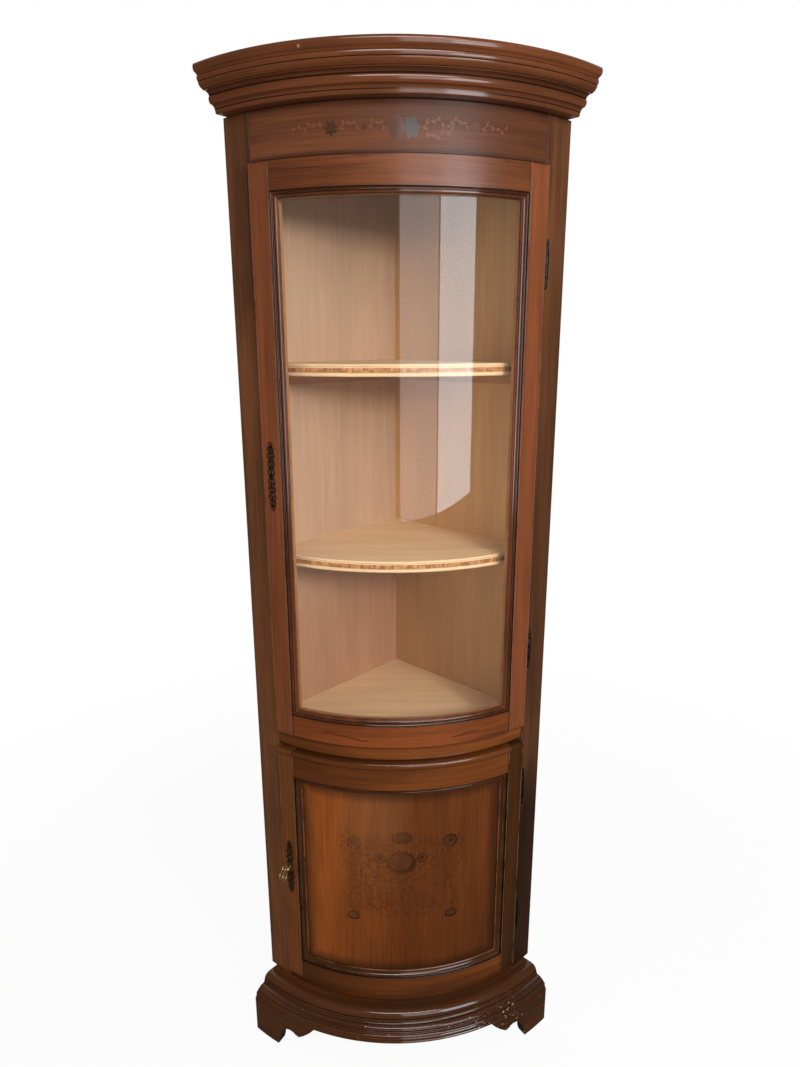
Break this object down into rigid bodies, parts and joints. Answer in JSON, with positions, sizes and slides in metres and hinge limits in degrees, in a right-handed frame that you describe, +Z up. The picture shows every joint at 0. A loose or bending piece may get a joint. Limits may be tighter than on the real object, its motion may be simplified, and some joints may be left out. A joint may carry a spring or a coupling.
{
  "type": "corner curio cabinet",
  "caption": "Bow-front corner cabinet with a glazed upper door over shelves, a panelled cupboard door below, moulded cornice and base on bracket feet.",
  "frame": {"origin": "on the floor, at the middle of the bounding box", "axes": "+Z up, -Y out of the bowed front, +Y towards the room corner, +X to the right seen from the front"},
  "size_m": [0.667, 0.475, 1.95],
  "materials": {
    "post_wood": "dark polished hardwood",
    "door_wood": "reddish polished hardwood",
    "panel_wood": "polished veneer with inlaid flowers",
    "inside_wood": "light waxed wood",
    "glass": "clear bent pane",
    "hinge_bronze": "dark patinated bronze",
    "lock_plate_bronze": "green-brown patinated bronze",
    "brass": "worn yellow brass",
    "steel": "dull steel"
  },
  "bodies": {
    "cabinet": {"left_back_panel": "inside_wood", "right_back_panel": "inside_wood", "left_post": "post_wood", "right_post": "post_wood", "frieze_rail": "door_wood", "middle_rail": "door_wood", "bottom_rail": "post_wood", "upper_door_stop": "inside_wood", "lower_door_stop": "inside_wood", "top_board": "post_wood", "cornice": "post_wood", "base_moulding": "post_wood", "left_bracket_foot": "post_wood", "right_bracket_foot": "post_wood", "rear_foot": "post_wood", "display_floor": "inside_wood", "cupboard_floor": "inside_wood", "upper_shelf": "inside_wood", "lower_shelf": "inside_wood", "upper_shelf_left_batten": "inside_wood", "upper_shelf_right_batten": "inside_wood", "lower_shelf_left_batten": "inside_wood", "lower_shelf_right_batten": "inside_wood", "upper_strike_plate": "brass", "lower_strike_plate": "brass", "upper_door_top_hinge_post_half": "hinge_bronze", "upper_door_bottom_hinge_post_half": "hinge_bronze", "lower_door_top_hinge_post_half": "hinge_bronze", "lower_door_bottom_hinge_post_half": "hinge_bronze"},
    "upper_door": {"upper_door_left_stile": "door_wood", "upper_door_right_stile": "door_wood", "upper_door_top_rail": "door_wood", "upper_door_bottom_rail": "door_wood", "upper_door_glass": "glass", "upper_door_moulding": "door_wood", "upper_door_left_bead": "inside_wood", "upper_door_right_bead": "inside_wood", "upper_door_top_bead": "inside_wood", "upper_door_bottom_bead": "inside_wood", "upper_lock_plate": "lock_plate_bronze", "upper_lock_case": "steel", "upper_door_top_hinge_door_half": "hinge_bronze", "upper_door_bottom_hinge_door_half": "hinge_bronze"},
    "lower_door": {"lower_door_left_stile": "door_wood", "lower_door_right_stile": "door_wood", "lower_door_top_rail": "door_wood", "lower_door_bottom_rail": "door_wood", "lower_door_panel": "panel_wood", "lower_door_moulding": "door_wood", "lower_door_left_bead": "inside_wood", "lower_door_right_bead": "inside_wood", "lower_door_top_bead": "inside_wood", "lower_door_bottom_bead": "inside_wood", "lower_lock_plate": "lock_plate_bronze", "lower_lock_case": "steel", "lower_door_top_hinge_door_half": "hinge_bronze", "lower_door_bottom_hinge_door_half": "hinge_bronze"},
    "upper_bolt": {"upper_lock_bolt": "brass"},
    "lower_bolt": {"lower_lock_bolt": "brass"},
    "key": {"key": "brass"}
  },
  "joints": [
    {"name": "upper_door_hinge", "type": "hinge", "parent": "cabinet", "child": "upper_door", "pos_m": [0.2551, -0.10266, 1.28], "axis": [0, 0, 1], "range_deg": [0, 105]},
    {"name": "lower_door_hinge", "type": "hinge", "parent": "cabinet", "child": "lower_door", "pos_m": [0.2551, -0.10266, 0.44], "axis": [0, 0, 1], "range_deg": [0, 105]},
    {"name": "key_turn", "type": "hinge", "parent": "lower_door", "child": "key", "pos_m": [-0.23595, -0.11971, 0.4355], "axis": [-0.5174, -0.8557, 0], "range_deg": [0, 360]},
    {"name": "lower_bolt_slide", "type": "slide", "parent": "lower_door", "child": "lower_bolt", "axis": [-0.8557, 0.5174, 0], "range_m": [0, 0.008]},
    {"name": "upper_bolt_slide", "type": "slide", "parent": "upper_door", "child": "upper_bolt", "axis": [-0.8557, 0.5174, 0], "range_m": [0, 0.008]}
  ],
  "couplings": [
    {"joint": "key_turn", "follows": "lower_bolt_slide", "rad_per_m": 785.3}
  ]
}
